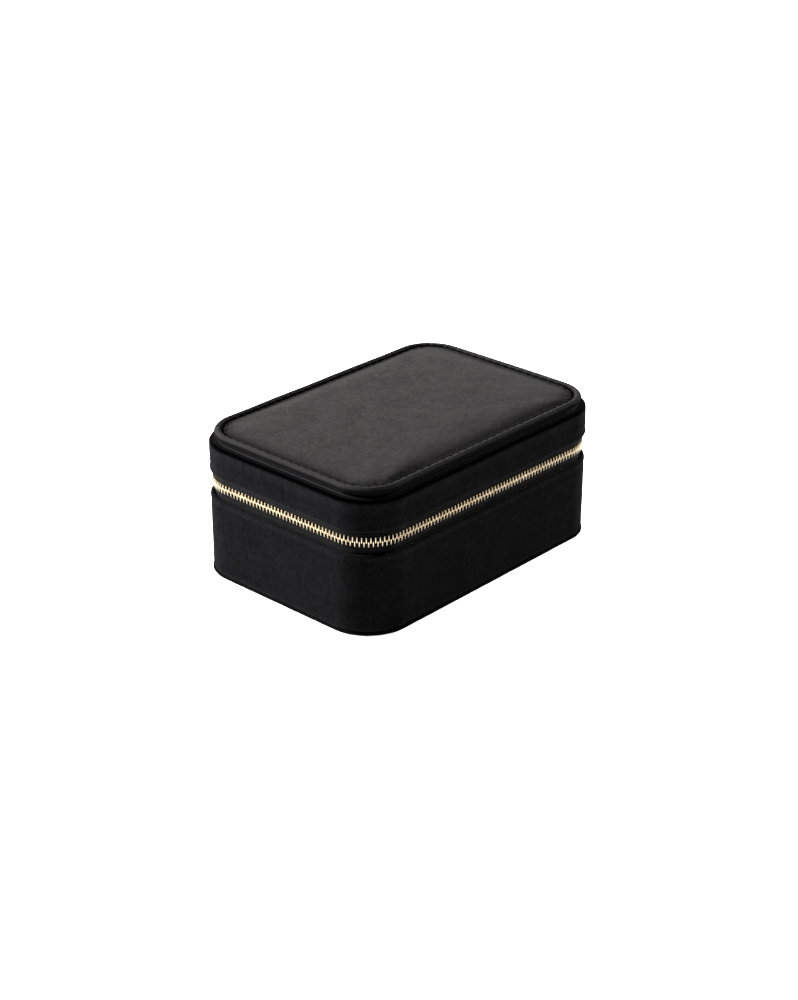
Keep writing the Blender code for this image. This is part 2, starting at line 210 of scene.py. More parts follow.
def sweep(name, section, path, relief=None, gap=0.0):
    """Sweeps a closed section of (inset, height) points along a path, with the "run" UV map in metres.

    relief(x, y, height, inset, distance) gives how far a point stands out, and how far it is lifted.
    """
    bm = bmesh.new()
    uv_layer = bm.loops.layers.uv.new("run")
    across = [0.0]
    for start, stop in zip(section, section[1:] + section[:1]):
        across.append(across[-1] + math.dist(start, stop))
    rings = []
    for x, y, out_x, out_y, distance in path:
        ring = []
        for inset, height in section:
            out = -inset
            lift = 0.0
            if relief:
                shift = relief(x, y, height, inset, distance)
                out += shift[0]
                lift = shift[1]
            ring.append(bm.verts.new((x + out_x * out, y + out_y * out, height + lift)))
        rings.append(ring)
    closed_path = not gap
    end = path[-1][4] + (math.dist(path[-1][:2], path[0][:2]) if closed_path else 0.0)
    pairs = list(zip(range(len(path)), range(1, len(path))))
    if closed_path:
        pairs.append((len(path) - 1, 0))
    for here, there in pairs:
        far = path[there][4] if there else end
        for row in range(len(section)):
            up = (row + 1) % len(section)
            face = bm.faces.new((rings[here][row], rings[there][row], rings[there][up], rings[here][up]))
            corners = ((path[here][4], row), (far, row), (far, row + 1), (path[here][4], row + 1))
            for loop, (along, level) in zip(face.loops, corners):
                loop[uv_layer].uv = (along, across[level])
    if gap:
        bm.faces.new(rings[0])
        bm.faces.new(rings[-1])
    return finish_mesh(name, bm)


def plate(name, loops, smooth_angle=50):
    """A plate from its first loop to its last, closed by flat faces."""
    bm = bmesh.new()
    close_rings(bm, [[bm.verts.new(point) for point in loop] for loop in loops])
    return finish_mesh(name, bm, smooth_angle)


def grid_line(low, high, radius, spacing):
    """Coordinates across a soft block: close together over its rounded edges and even between them."""
    inner_low, inner_high = low + radius, high - radius
    edge = [radius * math.tan(math.radians(angle)) for angle in (45, 30, 15)]
    steps = max(1, round((inner_high - inner_low) / spacing))
    line = [inner_low - offset for offset in edge]
    line += [inner_low + (inner_high - inner_low) * step / steps for step in range(steps + 1)]
    line += [inner_high + offset for offset in reversed(edge)]
    return line


def soft_block(name, low, high, radius, spacing, relief=None):
    """A closed block with rounded edges; relief(point) gives how far a point stands out of its face."""
    lines = [grid_line(low[axis], high[axis], radius, spacing) for axis in range(3)]
    bm = bmesh.new()
    verts = {}

    def vert_at(key):
        if key not in verts:
            point = Vector([lines[axis][key[axis]] for axis in range(3)])
            inner = Vector([min(max(point[n], low[n] + radius), high[n] - radius) for n in range(3)])
            outward = (point - inner).normalized()
            proud = radius + (relief(point, outward) if relief else 0.0)
            verts[key] = bm.verts.new(inner + outward * proud)
        return verts[key]

    for axis in range(3):
        across, up = [other for other in range(3) if other != axis]
        for side in (0, len(lines[axis]) - 1):
            for i in range(len(lines[across]) - 1):
                for j in range(len(lines[up]) - 1):
                    corners = []
                    for di, dj in ((0, 0), (1, 0), (1, 1), (0, 1)):
                        key = [0, 0, 0]
                        key[axis] = side
                        key[across] = i + di
                        key[up] = j + dj
                        corners.append(vert_at(tuple(key)))
                    bm.faces.new(corners)
    return finish_mesh(name, bm, None)


EDGE_ROWS = (0.0004, 0.0009, 0.0016, 0.0026, 0.0038, 0.0052, 0.0070, 0.0092, 0.0120)


def panel(name, edge, side, height, step=0.0020, rows=30):
    """A closed panel on the rounded footprint.

    side holds (inset, height) from the hidden face up the edge, and height(x, y, inset, distance) shapes the
    visible face from its edge in to the line along its middle.
    """
    length = 4 * (HALF_X + HALF_Y - 2 * edge) - (8 - 2 * math.pi) * (CORNER_RADIUS - edge)
    path = footprint(edge, length / (4 * round(length / step / 4)))
    bm = bmesh.new()
    rings = []
    for inset, level in side:
        ring = [bm.verts.new((x - ox * inset, y - oy * inset, level)) for x, y, ox, oy, distance in path]
        rings.append(ring)
    steps = [(inset, 0.0) for inset in (0.0,) + EDGE_ROWS]
    steps += [(EDGE_ROWS[-1], row / rows) for row in range(1, rows + 1)]
    core = HALF_X - HALF_Y
    for inset, share in steps:
        ring = []
        for x, y, ox, oy, distance in path:
            px, py = x - ox * inset, y - oy * inset
            px += (min(max(px, -core), core) - px) * share
            py *= 1 - share
            ring.append(bm.verts.new((px, py, height(px, py, inset + share * 0.03, distance))))
        rings.append(ring)
    close_rings(bm, rings, (0,))
    bmesh.ops.remove_doubles(bm, verts=rings[-1], dist=0.00002)
    bmesh.ops.dissolve_degenerate(bm, dist=0.000001, edges=bm.edges)
    return finish_mesh(name, bm, None)


def applied(obj):
    """Applies an object's modifiers to its mesh."""
    graph = bpy.context.evaluated_depsgraph_get()
    mesh = bpy.data.meshes.new_from_object(obj.evaluated_get(graph))
    obj.modifiers.clear()
    obj.data = mesh
    return obj


def inflate(obj, voxel, pinned_below, cap, pressure=4.0, frames=20):
    """Blows a closed mesh up as cloth under pressure, with its underside held and its movement capped."""
    remesh = obj.modifiers.new("Remesh", "REMESH")
    remesh.mode = "VOXEL"
    remesh.voxel_size = voxel
    applied(obj)
    mesh = obj.data
    start = [vert.co.copy() for vert in mesh.vertices]
    held = obj.vertex_groups.new(name="held")
    held.add([vert.index for vert in mesh.vertices if vert.co.z < pinned_below], 1.0, "REPLACE")
    cloth = obj.modifiers.new("Cloth", "CLOTH")
    settings = cloth.settings
    settings.quality = 6
    settings.use_pressure = True
    settings.uniform_pressure_force = pressure
    settings.vertex_group_mass = "held"
    settings.bending_stiffness = 0.5
    settings.effector_weights.gravity = 0.0
    cloth.point_cache.frame_start = 1
    cloth.point_cache.frame_end = frames
    scene = bpy.context.scene
    for number in range(1, frames + 1):
        scene.frame_set(number)
    applied(obj)
    for vert, before in zip(obj.data.vertices, start):
        move = vert.co - before
        if move.length > 1e-9:
            vert.co = before + move.normalized() * cap * math.tanh(move.length / cap)
    scene.frame_set(1)
    obj.vertex_groups.clear()
    return obj


def evened(obj, iterations):
    """Smooths a mesh and applies its modifiers."""
    smooth = obj.modifiers.new("Even out", "SMOOTH")
    smooth.factor = 0.5
    smooth.iterations = iterations
    applied(obj)


def fit_box(obj, low, high):
    """Scales a mesh so that it fills a box."""
    points = [vert.co for vert in obj.data.vertices]
    for axis in range(3):
        least = min(point[axis] for point in points)
        most = max(point[axis] for point in points)
        scale = (high[axis] - low[axis]) / (most - least)
        for point in points:
            point[axis] = low[axis] + (point[axis] - least) * scale
    return obj


def rounded_polygon(corners, radius, steps=5):
    """A polygon with its corners turned by short curves."""
    points = []
    for index, corner in enumerate(corners):
        here = Vector(corner)
        before = Vector(corners[index - 1]) - here
        after = Vector(corners[(index + 1) % len(corners)]) - here
        start = here + before.normalized() * min(radius, before.length * 0.48)
        stop = here + after.normalized() * min(radius, after.length * 0.48)
        for step in range(steps + 1):
            share = step / steps
            first = start.lerp(here, share)
            second = here.lerp(stop, share)
            points.append(tuple(first.lerp(second, share)))
    return points


def shrunk(outline, amount):
    """An outline moved in towards its middle."""
    middle = Vector((sum(p[0] for p in outline) / len(outline), sum(p[1] for p in outline) / len(outline)))
    points = []
    for point in outline:
        ray = Vector(point) - middle
        points.append(tuple(middle + ray * (1 - amount / ray.length)))
    return points


def add_prism(bm, outline, low, high, bevel):
    """A flat plate across X: outline holds (y, z), and its edges are rounded over by bevel."""
    soft = 0.3 * bevel
    levels = ((low, bevel), (low + soft, soft), (low + bevel, 0.0))
    levels += ((high - bevel, 0.0), (high - soft, soft), (high, bevel))
    rings = []
    for x, inward in levels:
        rings.append([bm.verts.new((x, y, z)) for y, z in (shrunk(outline, inward) if inward else outline)])
    close_rings(bm, rings)


def add_rim(bm, outline, width, low, high):
    """A raised border along an outline."""
    soft = 0.00012
    rings = []
    for inward, x in (
        (soft, low), (0.0, low + soft), (0.0, high - soft), (soft, high),
        (width - soft, high), (width, high - soft), (width, low + soft), (width - soft, low),
    ):
        points = shrunk(outline, inward) if inward else outline
        rings.append([bm.verts.new((x, y, z)) for y, z in points])
    close_rings(bm, rings, ())


def close_rings(bm, rings, caps=(0, -1)):
    """Joins rings of vertices in turn and caps the named ones, or with no caps joins the last to the first."""
    pairs = list(zip(rings, rings[1:]))
    if not caps:
        pairs.append((rings[-1], rings[0]))
    for lower, upper in pairs:
        for here in range(len(lower)):
            there = (here + 1) % len(lower)
            bm.faces.new((lower[here], lower[there], upper[there], upper[here]))
    for cap in caps:
        bm.faces.new(rings[cap])


def circle(radius, segments):
    """Evenly spaced points round a circle."""
    angles = [2 * math.pi * segment / segments for segment in range(segments)]
    return [(radius * math.cos(angle), radius * math.sin(angle)) for angle in angles]


def add_tube(bm, points, radius, segments=14):
    """A closed tube through points that lie in a level plane."""
    rings = []
    for index, point in enumerate(points):
        before = Vector(points[max(index - 1, 0)])
        after = Vector(points[min(index + 1, len(points) - 1)])
        along = (after - before).normalized()
        side = Vector((along.y, -along.x, 0.0))
        offsets = [side * across + Vector((0, 0, up)) for across, up in circle(radius, segments)]
        rings.append([bm.verts.new(Vector(point) + offset) for offset in offsets])
    close_rings(bm, rings)


def add_eye(bm, centre, bore, outer, half_length, segments=28):
    """A rolled loop about an axis along Y."""
    soft = (outer - bore) * 0.3
    section = [
        (bore, -half_length + soft), (bore + soft, -half_length), (outer - soft, -half_length),
        (outer, -half_length + soft), (outer, half_length - soft), (outer - soft, half_length),
        (bore + soft, half_length), (bore, half_length - soft),
    ]
    rings = []
    for radius, along in section:
        spots = [(centre[0] + x, centre[1] + along, centre[2] + z) for x, z in circle(radius, segments)]
        rings.append([bm.verts.new(spot) for spot in spots])
    close_rings(bm, rings, ())


# ---------------------------------------------------------------- materials


def new_material(name):
    material = bpy.data.materials.new(name)
    material.use_nodes = True
    tree = material.node_tree
    return material, tree, tree.nodes["Principled BSDF"]


def fill(node, values):
    """Sets a node's sockets by name."""
    for name, value in values.items():
        node.inputs[name].default_value = value


def link(tree, source, target):
    tree.links.new(source, target)


def mapped(tree, scale, use_uv=False):
    """Object coordinates in metres, or the run map's distances, times a scale for each axis."""
    if use_uv:
        source = tree.nodes.new("ShaderNodeUVMap")
        source.uv_map = "run"
        output = source.outputs["UV"]
    else:
        source = tree.nodes.new("ShaderNodeTexCoord")
        output = source.outputs["Object"]
    mapping = tree.nodes.new("ShaderNodeMapping")
    mapping.inputs["Scale"].default_value = scale
    link(tree, output, mapping.inputs["Vector"])
    return mapping.outputs["Vector"]


def noise_value(tree, scale, detail, roughness, use_uv=False):
    """Noise with a scale for each axis, in waves to the metre."""
    node = tree.nodes.new("ShaderNodeTexNoise")
    fill(node, {"Scale": 1.0, "Detail": detail, "Roughness": roughness})
    link(tree, mapped(tree, scale, use_uv), node.inputs["Vector"])
    return node.outputs["Fac"]


def spread(tree, value, low, high, new_low=0.0, new_high=1.0):
    node = tree.nodes.new("ShaderNodeMapRange")
    fill(node, {"From Min": low, "From Max": high, "To Min": new_low, "To Max": new_high})
    link(tree, value, node.inputs["Value"])
    return node.outputs["Result"]


def maths(tree, operation, first, second=None):
    node = tree.nodes.new("ShaderNodeMath")
    node.operation = operation
    for index, value in enumerate((first, second)):
        if value is None:
            continue
        if isinstance(value, (int, float)):
            node.inputs[index].default_value = value
        else:
            link(tree, value, node.inputs[index])
    return node.outputs[0]


def tinted(tree, factor, dark, light):
    node = tree.nodes.new("ShaderNodeMix")
    node.data_type = "RGBA"
    fill(node, {"A": (*dark, 1.0), "B": (*light, 1.0)})
    link(tree, factor, node.inputs["Factor"])
    return node.outputs["Result"]


def bump(tree, height, strength, distance, under=None):
    node = tree.nodes.new("ShaderNodeBump")
    fill(node, {"Strength": strength, "Distance": distance})
    link(tree, height, node.inputs["Height"])
    if under is not None:
        link(tree, under, node.inputs["Normal"])
    return node.outputs["Normal"]


def with_painted_light_and_shade(tree, colour):
    """A colour raised or dimmed by the painted light-and-shade map."""
    source = tree.nodes.new("ShaderNodeUVMap")
    source.uv_map = "wear"
    split = tree.nodes.new("ShaderNodeSeparateXYZ")
    link(tree, source.outputs["UV"], split.inputs["Vector"])
    node = tree.nodes.new("ShaderNodeMix")
    node.data_type = "RGBA"
    node.clamp_factor = False
    node.inputs["A"].default_value = (0.0, 0.0, 0.0, 1.0)
    link(tree, colour, node.inputs["B"])
    link(tree, split.outputs["X"], node.inputs["Factor"])
    return node.outputs["Result"]


def velvet(name, dark, light, sheen, sheen_tint, streaks=0.5, use_uv=True, shaded=True):
    """Short black pile: a fine mottle, brushed streaks down the nap, and a soft sheen at grazing angles."""
    material, tree, shader = new_material(name)
    fine = noise_value(tree, (1300, 1300, 1300), 3.0, 0.6)
    patches = noise_value(tree, (70, 70, 70), 3.0, 0.55)
    pile = spread(tree, fine, 0.25, 0.75)
    broad = spread(tree, patches, 0.3, 0.7)
    tufts = noise_value(tree, (420, 420, 420), 3.0, 0.6)
    ruffled = spread(tree, tufts, 0.3, 0.7)
    blend = maths(tree, "MULTIPLY", pile, 0.55 - 0.25 * streaks)
    blend = maths(tree, "ADD", blend, maths(tree, "MULTIPLY", ruffled, 0.25))
    blend = maths(tree, "ADD", blend, maths(tree, "MULTIPLY", broad, 0.20))
    normal = bump(tree, tufts, 0.25, 0.0006, bump(tree, fine, 0.5, 0.00025))
    if streaks:
        brushed = noise_value(tree, (420, 40, 1) if use_uv else (420, 60, 420), 3.0, 0.6, use_uv)
        lines = spread(tree, brushed, 0.3, 0.7)
        blend = maths(tree, "ADD", blend, maths(tree, "MULTIPLY", lines, 0.25 * streaks))
        normal = bump(tree, brushed, 0.30 * streaks, 0.0005, normal)
    colour = tinted(tree, blend, dark, light)
    # With shaded, the base colour is scaled by the painted light-and-shade map.
    link(tree, with_painted_light_and_shade(tree, colour) if shaded else colour, shader.inputs["Base Color"])
    link(tree, spread(tree, fine, 0.2, 0.8, 0.85, 1.0), shader.inputs["Roughness"])
    fill(shader, {"Specular IOR Level": 0.0, "Sheen Weight": sheen})
    fill(shader, {"Sheen Roughness": 0.35, "Sheen Tint": (*sheen_tint, 1.0)})
    link(tree, normal, shader.inputs["Normal"])
    return material


def woven_tape(name):
    """Herringbone twill: ribs that lean one way and then the other in bands along the tape."""
    material, tree, shader = new_material(name)
    vector = mapped(tree, (1, 1, 1), use_uv=True)
    split = tree.nodes.new("ShaderNodeSeparateXYZ")
    link(tree, vector, split.inputs["Vector"])
    along, across = split.outputs["X"], split.outputs["Y"]
    zigzag = maths(tree, "PINGPONG", across, 0.0022)
    lean = maths(tree, "ADD", along, maths(tree, "MULTIPLY", zigzag, 1.3))
    ribs = maths(tree, "SINE", maths(tree, "MULTIPLY", lean, 2 * math.pi / 0.00075))
    threads = maths(tree, "SINE", maths(tree, "MULTIPLY", across, 2 * math.pi / 0.0004))
    weave = maths(tree, "ADD", maths(tree, "MULTIPLY", ribs, 0.7), maths(tree, "MULTIPLY", threads, 0.3))
    shade = spread(tree, weave, -1.0, 1.0)
    yarn = tinted(tree, shade, (0.0003, 0.0003, 0.0003), (0.0032, 0.0032, 0.0034))
    link(tree, yarn, shader.inputs["Base Color"])
    link(tree, spread(tree, weave, -1.0, 1.0, 0.9, 0.75), shader.inputs["Roughness"])
    shader.inputs["Specular IOR Level"].default_value = 0.04
    link(tree, bump(tree, shade, 0.8, 0.0002), shader.inputs["Normal"])
    return material


def plated_metal(name, colour, roughness, shaded=False):
    """Pale gold plating with fine scuffs, random darker patches, and painted shade from the light-and-shade map
    when shaded.
    """
    material, tree, shader = new_material(name)
    scuffs = noise_value(tree, (1800, 1800, 1800), 3.0, 0.6)
    tone = noise_value(tree, (260, 260, 260), 2.0, 0.5)
    darker = tuple(channel * 0.78 for channel in colour)
    plating = tinted(tree, spread(tree, tone, 0.35, 0.65), darker, colour)
    link(tree, with_painted_light_and_shade(tree, plating) if shaded else plating, shader.inputs["Base Color"])
    link(tree, spread(tree, scuffs, 0.3, 0.7, roughness - 0.06, roughness + 0.12), shader.inputs["Roughness"])
    shader.inputs["Metallic"].default_value = 1.0
    link(tree, bump(tree, scuffs, 0.15, 0.0001), shader.inputs["Normal"])
    return material


def grey_board(name):
    """Pressed card with pale and dark fibres."""
    material, tree, shader = new_material(name)
    fibres = noise_value(tree, (900, 300, 900), 4.0, 0.65)
    shade = spread(tree, fibres, 0.3, 0.7)
    link(tree, tinted(tree, shade, (0.20, 0.18, 0.16), (0.40, 0.37, 0.33)), shader.inputs["Base Color"])
    shader.inputs["Roughness"].default_value = 0.92
    link(tree, bump(tree, fibres, 0.4, 0.0003), shader.inputs["Normal"])
    return material


def silvered_glass(name):
    """Mirror glass with the faintest unevenness in its polish."""
    material, tree, shader = new_material(name)
    cloud = noise_value(tree, (60, 60, 60), 2.0, 0.5)
    link(tree, tinted(tree, cloud, (0.80, 0.83, 0.83), (0.88, 0.90, 0.90)), shader.inputs["Base Color"])
    link(tree, spread(tree, cloud, 0.3, 0.7, 0.02, 0.05), shader.inputs["Roughness"])
    shader.inputs["Metallic"].default_value = 1.0
    return material


def stage_floor(name):
    material, tree, shader = new_material(name)
    fill(shader, {"Base Color": (0.86, 0.86, 0.86, 1.0), "Roughness": 0.9, "Specular IOR Level": 0.0})
    fill(shader, {"Emission Color": (1.0, 1.0, 1.0, 1.0), "Emission Strength": 0.90})
    return material


SHEEN = (0.80, 0.78, 0.78)
WALL_SHEEN = (0.74, 0.74, 0.80)
# One black velvet throughout: the top's and the piping's pile colours are set lighter than the walls' as painted
# light, for the light falling on their upward faces.
PAINTED_LIT_TOP_PILE = ((0.0072, 0.0068, 0.0068), (0.0320, 0.0302, 0.0300))
WALL_PILE = ((0.0003, 0.0003, 0.0003), (0.0050, 0.0050, 0.0054))
PAINTED_LIT_PIPING_PILE = ((0.0100, 0.0096, 0.0096), (0.0230, 0.0220, 0.0220))
BOTTOM_PILE = ((0.0010, 0.0010, 0.0010), (0.0036, 0.0036, 0.0036))
LINING_PILE = ((0.008, 0.008, 0.0084), (0.020, 0.020, 0.0208))
PAINTED_LIT_TOP_VELVET = velvet("Top velvet", *PAINTED_LIT_TOP_PILE, 0.02, SHEEN, 0.0, False)
WALL_VELVET = velvet("Wall velvet", *WALL_PILE, 0.03, WALL_SHEEN, 0.5)
HINGE_VELVET = velvet("Hinge velvet", *WALL_PILE, 0.03, WALL_SHEEN, 0.5, False, False)
PAINTED_LIT_PIPING_VELVET = velvet("Piping velvet", *PAINTED_LIT_PIPING_PILE, 0.02, SHEEN, 0.3)
BOTTOM_VELVET = velvet("Bottom velvet", *BOTTOM_PILE, 0.0, (0.5, 0.5, 0.5), 0.0, False, False)
LINING_VELVET = velvet("Lining velvet", *LINING_PILE, 0.20, SHEEN, 0.4, False, False)
TAPE = woven_tape("Herringbone tape")
GOLD = plated_metal("Pale gold", (0.56, 0.47, 0.32), 0.30)
# The teeth's gold takes painted shade from the light-and-shade map.
TEETH_GOLD = plated_metal("Pale gold teeth", (0.56, 0.47, 0.32), 0.30, True)
BOARD = grey_board("Grey board")
MIRROR = silvered_glass("Silvered glass")


def dress(obj, material, body, slot, *replaced):
    """Gives a piece its material and body, and hides the CAD nodes that it stands for; slot is not used."""
    obj.data.materials.clear()
    obj.data.materials.append(material)
    if body:
        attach(obj, body)
    if replaced:
        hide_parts(*replaced)
    return obj


# ---------------------------------------------------------------- velvet shell


def dip(value, centre, width, depth):
    """A groove of a given depth, rounded like a bell."""
    return -depth * math.exp(-(((value - centre) / width) ** 2))


def stitched(distance, pitch):
    """1 between stitches and 0 where the needle went through."""
    return 0.5 - 0.5 * math.cos(2 * math.pi * distance / pitch)


def pinch(distance, pitch, sharpness=3.0):
    """0 between stitches and 1, over a short stretch, where the needle went through."""
    return (0.5 + 0.5 * math.cos(2 * math.pi * distance / pitch)) ** sharpness


def base_wall():
    hem_line = BASE_RIM - 0.0035
    lip = 0.0011

    def relief(x, y, z, inset, distance):
        out = 0.00022 * wander(x, y, z, 0.030) + 0.00010 * wander(x, y, z, 0.008, 3.0)
        seam = 1.0 + 0.35 * (stitched(distance, 0.0030) - 0.5)
        out += dip(z, hem_line, 0.00045, 0.00030 * seam)
        out += 0.00012 * max(0.0, 1.0 - abs(z - (hem_line + 0.0016)) / 0.0014)
        lift = 0.00018 * wander(x, y, z, 0.024, 5.0) if z > hem_line else 0.0
        if z < BASE_BOTTOM + 0.003:
            lift += 0.00012 * wander(x, y, z, 0.006, 8.0)
        return out, lift

    section = [(0.0012, BASE_BOTTOM)]
    section += arc((0.0008, BASE_BOTTOM + 0.0008), 0.0008, 270, 180, 4)
    section += [(0.0, BASE_RIM - lip)]
    section += arc((lip, BASE_RIM - lip), lip, 180, 0, 8)
    section += [(0.0022, BASE_RIM - 0.0036), (0.0012, BASE_RIM - 0.0042), (0.0012, BASE_BOTTOM)]
    section = dense(section[:-1], 0.0009)

    # Painted light and shade: the outer face is lightened near the rim and near the foot as painted highlights,
    # and the rim's inner side and the inner faces are darkened as painted shade.
    def tone(inset, z):
        rim = ramp(z, BASE_RIM - 0.0040, BASE_RIM - 0.0015) * (1.0 - ramp(inset, 0.0002, 0.0009))
        foot = 1.0 - ramp(z, BASE_BOTTOM + 0.0010, BASE_BOTTOM + 0.0035)
        return (1.0 + 0.35 * rim + 0.25 * foot) * (1.0 - 0.9 * ramp(inset, 0.0006, 0.0013))

    wall = sweep("base_wall_velvet", section, footprint(0.0), relief=relief)
    wear(wall, tone)
    dress(wall, WALL_VELVET, "base", "outer_velvet", "base_cover")


def lid_wall():
    hem_line = LID_EDGE + 0.0037
    second_line = LID_EDGE + 0.0026
    lip = 0.0011
    shoulder = 0.0017

    def relief(x, y, z, inset, distance):
        out = 0.00026 * wander(x, y, z, 0.028, 11.0) + 0.00012 * wander(x, y, z, 0.007, 13.0)
        seam = 1.0 + 0.3 * (stitched(distance, 0.0030) - 0.5)
        out += dip(z, hem_line, 0.00045, 0.00034 * seam)
        out += dip(z, second_line, 0.0003, 0.00014)
        out += 0.00020 * max(0.0, 1.0 - abs(z - (LID_EDGE + 0.0013)) / 0.0013)
        lift = 0.00022 * wander(x, y, z, 0.026, 15.0)
        return out, lift

    section = arc((lip, LID_EDGE + lip), lip, 0, -180, 8)
    section += [(0.0, LID_SHOULDER - shoulder)]
    section += arc((shoulder, LID_SHOULDER - shoulder), shoulder, 180, 90, 8)
    section += [(0.0036, LID_SHOULDER), (0.0036, LID_SHOULDER - 0.0012), (0.0012, LID_SHOULDER - 0.0012)]
    section += [(0.0012, LID_EDGE + 0.0044), (0.0022, LID_EDGE + 0.0038), (0.0022, LID_EDGE + lip)]
    section = dense(section[:-1], 0.0009)

    # Painted light and shade: painted highlights on the outer face below the shoulder and along the lower hem, and
    # painted shade turning the shoulder's top black in the groove under the piping.
    def tone(inset, z):
        band = ramp(z, LID_SHOULDER - 0.0075, LID_SHOULDER - 0.0030) * (1.0 - ramp(inset, 0.0001, 0.0006))
        hem = 1.0 - ramp(z, LID_EDGE + 0.0025, LID_EDGE + 0.0045)
        groove = ramp(z, LID_SHOULDER - 0.0022, LID_SHOULDER - 0.0008)
        return (1.0 + 0.45 * band + 0.25 * hem) * (1.0 - groove)

    wall = sweep("lid_wall_velvet", section, footprint(0.0), relief=relief)
    wear(wall, tone)
    dress(wall, WALL_VELVET, "lid", "outer_velvet", "lid_cover")


def piping():
    """The rolled welt, pinched by stitches where it meets the pad."""
    centre = (WELT_OUT + WELT_RADIUS, PIPING_TOP - WELT_RADIUS)
    inner = WELT_OUT + 2 * WELT_RADIUS

    def relief(x, y, z, inset, distance):
        out = 0.00016 * wander(x, y, z, 0.022, 21.0) + 0.00007 * wander(x, y, z, 0.005, 23.0)
        lift = 0.00014 * wander(x, y, z, 0.030, 25.0)
        crest = inset - centre[0]
        if crest > 0.0:
            held = min(1.0, crest / WELT_RADIUS)
            lift -= 0.00060 * held * pinch(distance, STITCH)
            out += 0.00025 * held * pinch(distance, STITCH)
        return out, lift

    neck = centre[0] - 0.0004
    section = [(centre[0] - 0.0001, PIPING_LOW.z), (neck, PIPING_LOW.z)]
    section += [(neck, centre[1] - WELT_RADIUS + 0.0001)]
    section += arc(centre, WELT_RADIUS, 252, 0, 26)
    section += [(inner, FOAM_LOW.z), (centre[0] - 0.0001, FOAM_LOW.z)]
    section = dense(section, 0.0006)

    # Painted light and shade: the upward crest is painted light, and the welt's outer side, its inner side at the
    # seam and its underside are darkened as painted shade.
    def tone(inset, z):
        crest = ramp(z, centre[1] + 0.2 * WELT_RADIUS, centre[1] + 0.85 * WELT_RADIUS)
        seam = ramp(inset, centre[0] + 0.45 * WELT_RADIUS, centre[0] + 0.9 * WELT_RADIUS)
        under = 1.0 - ramp(z, centre[1] - 0.9 * WELT_RADIUS, centre[1] - 0.3 * WELT_RADIUS)
        return (0.14 + 0.86 * crest) * (1.0 - 0.92 * seam) * (1.0 - under)

    welt = sweep("lid_piping_velvet", section, footprint(0.0, 0.0007), relief=relief)
    wear(welt, tone)
    dress(welt, PAINTED_LIT_PIPING_VELVET, "lid", "outer_velvet", "lid_piping")


def swollen_top():
    """The pad's surface after its foam and velvet have been blown up as cloth, for reading heights from."""
    start_low = FOAM_LOW.z - 0.0008
    start_high = FOAM_HIGH.z
    path = footprint(PAD_EDGE, 0.002)
    loops = []
    section = [(0.0003, start_low), (0.0, start_low + 0.0003)]
    section += [(0.0, start_high - 0.0004), (0.0004, start_high)]
    for inset, height in section:
        loops.append([(x - ox * inset, y - oy * inset, height) for x, y, ox, oy, distance in path])
    slab = plate("pad_start", loops)
    inflate(slab, 0.0020, FOAM_LOW.z + 0.0004, CROWN - start_high)
    evened(slab, 6)
    bm = bmesh.new()
    bm.from_mesh(slab.data)
    tree = BVHTree.FromBMesh(bm)
    bm.free()
    bpy.data.objects.remove(slab, do_unlink=True)
    return tree


def build_pad():
    """The padded panel: foam under velvet, blown up by cloth simulation and sewn down to the welt."""
    seam = PIPING_TOP - 0.0016
    swollen = swollen_top()

    def height(x, y, inset, distance):
        crown = CROWN - 0.0022 * math.exp(-inset / 0.0030)
        if swollen:
            hit = swollen.ray_cast(Vector((x, y, 0.2)), Vector((0, 0, -1)))[0]
            if hit:
                crown = min(hit.z, crown + 0.0004)
        rise = 1.0 - math.exp(-inset / 0.0016)
        z = seam + (crown - seam) * rise
        z += 0.00014 * wander(x, y, 0.0, 0.045, 41.0) * rise
        z -= 0.00045 * pinch(distance, STITCH) * math.exp(-inset / 0.0012)
        return z

    edge = PAD_EDGE - 0.0002
    pad = panel("lid_top_pad", edge, [(0.0, FOAM_LOW.z), (0.0, FOAM_LOW.z + 0.0004)], height, 0.0007)
    # Painted shade: the pile darkens over the last millimetres towards the seam with the welt.
    wear(pad, lambda inset, z: 0.18 + 0.82 * ramp(inset, edge - 0.0020, edge + 0.0080))
    dress(pad, PAINTED_LIT_TOP_VELVET, "lid", "outer_velvet", "lid_top_cover", "lid_top_foam")


def bottom_panel():
    low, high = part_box("base_bottom_panel")
    edge = HALF_X - high.x

    def height(x, y, inset, distance):
        return low.z + 0.00015 * math.exp(-inset / 0.0003) + 0.00005 * (1 + wander(x, y, 0.0, 0.02, 31.0))

    side = [(0.0012, high.z), (0.0004, high.z - 0.0003), (0.0, low.z + 0.0005), (0.0, low.z + 0.0003)]
    panel_piece = panel("base_bottom_velvet", edge - 0.0006, side, height)
    for vert in panel_piece.data.vertices:
        ragged = 0.00014 * wander(vert.co.x, vert.co.y, vert.co.z, 0.004, 33.0)
        vert.co.x *= 1 + ragged / HALF_X
        vert.co.y *= 1 + ragged / HALF_Y
    dress(panel_piece, BOTTOM_VELVET, "base", "outer_velvet", "base_bottom_panel")


# ---------------------------------------------------------------- inside


def lining_relief(seed):
    def relief(x, y, z, inset, distance):
        return 0.00010 * wander(x, y, z, 0.020, seed) + 0.00005 * wander(x, y, z, 0.006, seed + 2.0), 0.0
    return relief


def wall_lining(node, body, seed):
    """Velvet on an inner wall, turned over at the edge nearest the zip."""
    low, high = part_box(node)
    outer = HALF_X - high.x
    lip = 0.0005
    if body == "base":
        section = [(outer + 2 * lip, low.z), (outer, low.z)]
        section += arc((outer + lip, high.z - lip), lip, 180, 0, 8)
    else:
        section = arc((outer + lip, low.z + lip), lip, 180, 360, 8)
        section += [(outer + 2 * lip, high.z), (outer, high.z)]
    wall = sweep(f"{node}_velvet", dense(section, 0.0012), footprint(0.0, 0.0018), lining_relief(seed))
    dress(wall, LINING_VELVET, body, "lining_velvet", node)


